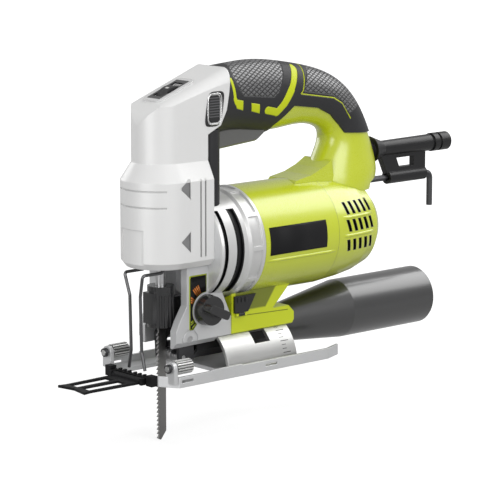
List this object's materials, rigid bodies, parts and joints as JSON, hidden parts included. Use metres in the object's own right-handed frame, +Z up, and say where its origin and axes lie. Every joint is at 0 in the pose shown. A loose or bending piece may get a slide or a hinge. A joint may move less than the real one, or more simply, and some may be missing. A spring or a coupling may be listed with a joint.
{
  "type": "jigsaw power tool",
  "caption": "Corded jigsaw with a D handle, an upright gear head, a quick blade clamp, a pendulum roller, a tilting shoe and a dust tube.",
  "frame": {"origin": "on the sole of the shoe, where the axis of the plunger and blade meets it", "axes": "+X forward along the cut, +Y to the tool's left, +Z up along the plunger"},
  "size_m": [0.3525, 0.0784, 0.2565],
  "materials": {
    "green_plastic": "satin moulded plastic",
    "silver_cover": "satin silver coat",
    "dark_rubber": "soft matt rubber",
    "black_plastic": "matt moulded plastic",
    "cast_aluminium": "bead-blasted casting",
    "bright_steel": "ground steel",
    "dark_steel": "blackened steel",
    "core_steel": "stacked sheet steel",
    "copper": "enamelled copper",
    "bronze": "sintered bronze",
    "carbon": "pressed carbon"
  },
  "bodies": {
    "housing": {"gear_head": "silver_cover", "dial_window": "black_plastic", "gear_case": "cast_aluminium", "lower_bush": "bronze", "upper_bush": "bronze", "motor_collar": "silver_cover", "fan_baffle": "black_plastic", "motor_housing": "green_plastic", "handle_left": "green_plastic", "handle_right": "green_plastic", "grip_cover": "dark_rubber", "switch_module": "black_plastic", "rear_cap": "green_plastic", "cord_guard": "dark_rubber", "field_core": "core_steel", "field_coils": "copper", "front_bearing": "bright_steel", "rear_bearing": "bright_steel", "brush_holders": "black_plastic", "carbon_brushes": "carbon", "gear_axle": "bright_steel", "fork_pins": "bright_steel", "foot": "green_plastic", "clamp_pad": "bright_steel", "bevel_screw": "dark_steel", "wire_guard": "bright_steel"},
    "armature": {"armature_shaft": "bright_steel", "pinion": "bright_steel", "armature_core": "core_steel", "armature_windings": "copper", "commutator": "copper", "cooling_fan": "black_plastic"},
    "drive_gear": {"drive_gear": "bright_steel", "crank_pin": "bright_steel"},
    "plunger": {"plunger": "bright_steel", "yoke": "bright_steel", "clamp_core": "bright_steel", "blade": "bright_steel"},
    "clamp_sleeve": {"clamp_sleeve": "black_plastic"},
    "roller_fork": {"roller_fork": "dark_steel", "roller_pin": "bright_steel"},
    "guide_roller": {"guide_roller": "bright_steel"},
    "orbital_knob": {"orbital_knob": "black_plastic", "orbital_cam": "bright_steel"},
    "trigger": {"trigger": "black_plastic"},
    "lock_button": {"lock_button": "black_plastic"},
    "speed_dial": {"speed_dial": "black_plastic"},
    "shoe": {"shoe_plate": "cast_aluminium", "bevel_bracket": "bright_steel", "guide_bar": "black_plastic"},
    "thumb_screw_left": {"thumb_screw_left": "bright_steel"},
    "thumb_screw_right": {"thumb_screw_right": "bright_steel"},
    "cut_guide": {"cut_guide": "black_plastic"},
    "hex_key": {"hex_key": "dark_steel"},
    "dust_tube": {"dust_tube": "black_plastic", "dust_nozzle": "black_plastic"},
    "storage_door": {"storage_door": "black_plastic"}
  },
  "joints": [
    {"name": "armature_spin", "type": "hinge", "parent": "housing", "child": "armature", "pos_m": [-0.06, 0, 0.0864], "axis": [1, 0, 0], "continuous": true},
    {"name": "drive_gear_spin", "type": "hinge", "parent": "housing", "child": "drive_gear", "pos_m": [-0.017, 0, 0.1111], "axis": [1, 0, 0], "continuous": true},
    {"name": "plunger_stroke", "type": "slide", "parent": "housing", "child": "plunger", "axis": [0, 0, 1], "range_m": [-0.009, 0.009]},
    {"name": "clamp_sleeve_turn", "type": "hinge", "parent": "plunger", "child": "clamp_sleeve", "pos_m": [0, 0, 0.048], "axis": [0, 0, 1], "range_deg": [0, 25], "stiffness_Nm_per_rad": 0.3},
    {"name": "roller_fork_swing", "type": "hinge", "parent": "housing", "child": "roller_fork", "pos_m": [-0.009, 0, 0.0264], "axis": [0, 1, 0], "range_deg": [0, 9]},
    {"name": "guide_roller_spin", "type": "hinge", "parent": "roller_fork", "child": "guide_roller", "pos_m": [-0.009, 0, 0.013], "axis": [0, 1, 0], "continuous": true},
    {"name": "orbital_knob_turn", "type": "hinge", "parent": "housing", "child": "orbital_knob", "pos_m": [-0.0235, 0.025, 0.0456], "axis": [0, 1, 0], "range_deg": [0, 90]},
    {"name": "trigger_press", "type": "slide", "parent": "housing", "child": "trigger", "axis": [0, 0, 1], "range_m": [0, 0.006], "stiffness_N_per_m": 1500},
    {"name": "lock_button_press", "type": "slide", "parent": "housing", "child": "lock_button", "axis": [0, -1, 0], "range_m": [0, 0.003], "stiffness_N_per_m": 1500},
    {"name": "speed_dial_turn", "type": "hinge", "parent": "housing", "child": "speed_dial", "pos_m": [-0.01169, 0, 0.18486], "axis": [0, 1, 0], "range_deg": [-135, 135]},
    {"name": "shoe_bevel", "type": "hinge", "parent": "housing", "child": "shoe", "pos_m": [0, 0, 0], "axis": [1, 0, 0], "range_deg": [-45, 45]},
    {"name": "thumb_screw_left_turn", "type": "hinge", "parent": "shoe", "child": "thumb_screw_left", "pos_m": [0.012, 0.0342, 0.0132], "axis": [1, 0, 0], "continuous": true},
    {"name": "thumb_screw_right_turn", "type": "hinge", "parent": "shoe", "child": "thumb_screw_right", "pos_m": [0.012, -0.0342, 0.0132], "axis": [1, 0, 0], "continuous": true},
    {"name": "cut_guide_fold", "type": "hinge", "parent": "shoe", "child": "cut_guide", "pos_m": [0.0294, 0, 0.0029], "axis": [0, -1, 0], "range_deg": [0, 90]},
    {"name": "hex_key_pull", "type": "slide", "parent": "housing", "child": "hex_key", "axis": [-1, 0, 0], "range_m": [0, 0.06]},
    {"name": "dust_tube_pull", "type": "slide", "parent": "housing", "child": "dust_tube", "axis": [-1, 0, 0], "range_m": [0, 0.04]},
    {"name": "storage_door_swing", "type": "hinge", "parent": "housing", "child": "storage_door", "pos_m": [-0.0535, 0.022, 0.0384], "axis": [-1, 0, 0], "range_deg": [0, 75]}
  ],
  "couplings": [
    {"joint": "drive_gear_spin", "follows": "armature_spin", "ratio": -0.18182}
  ]
}
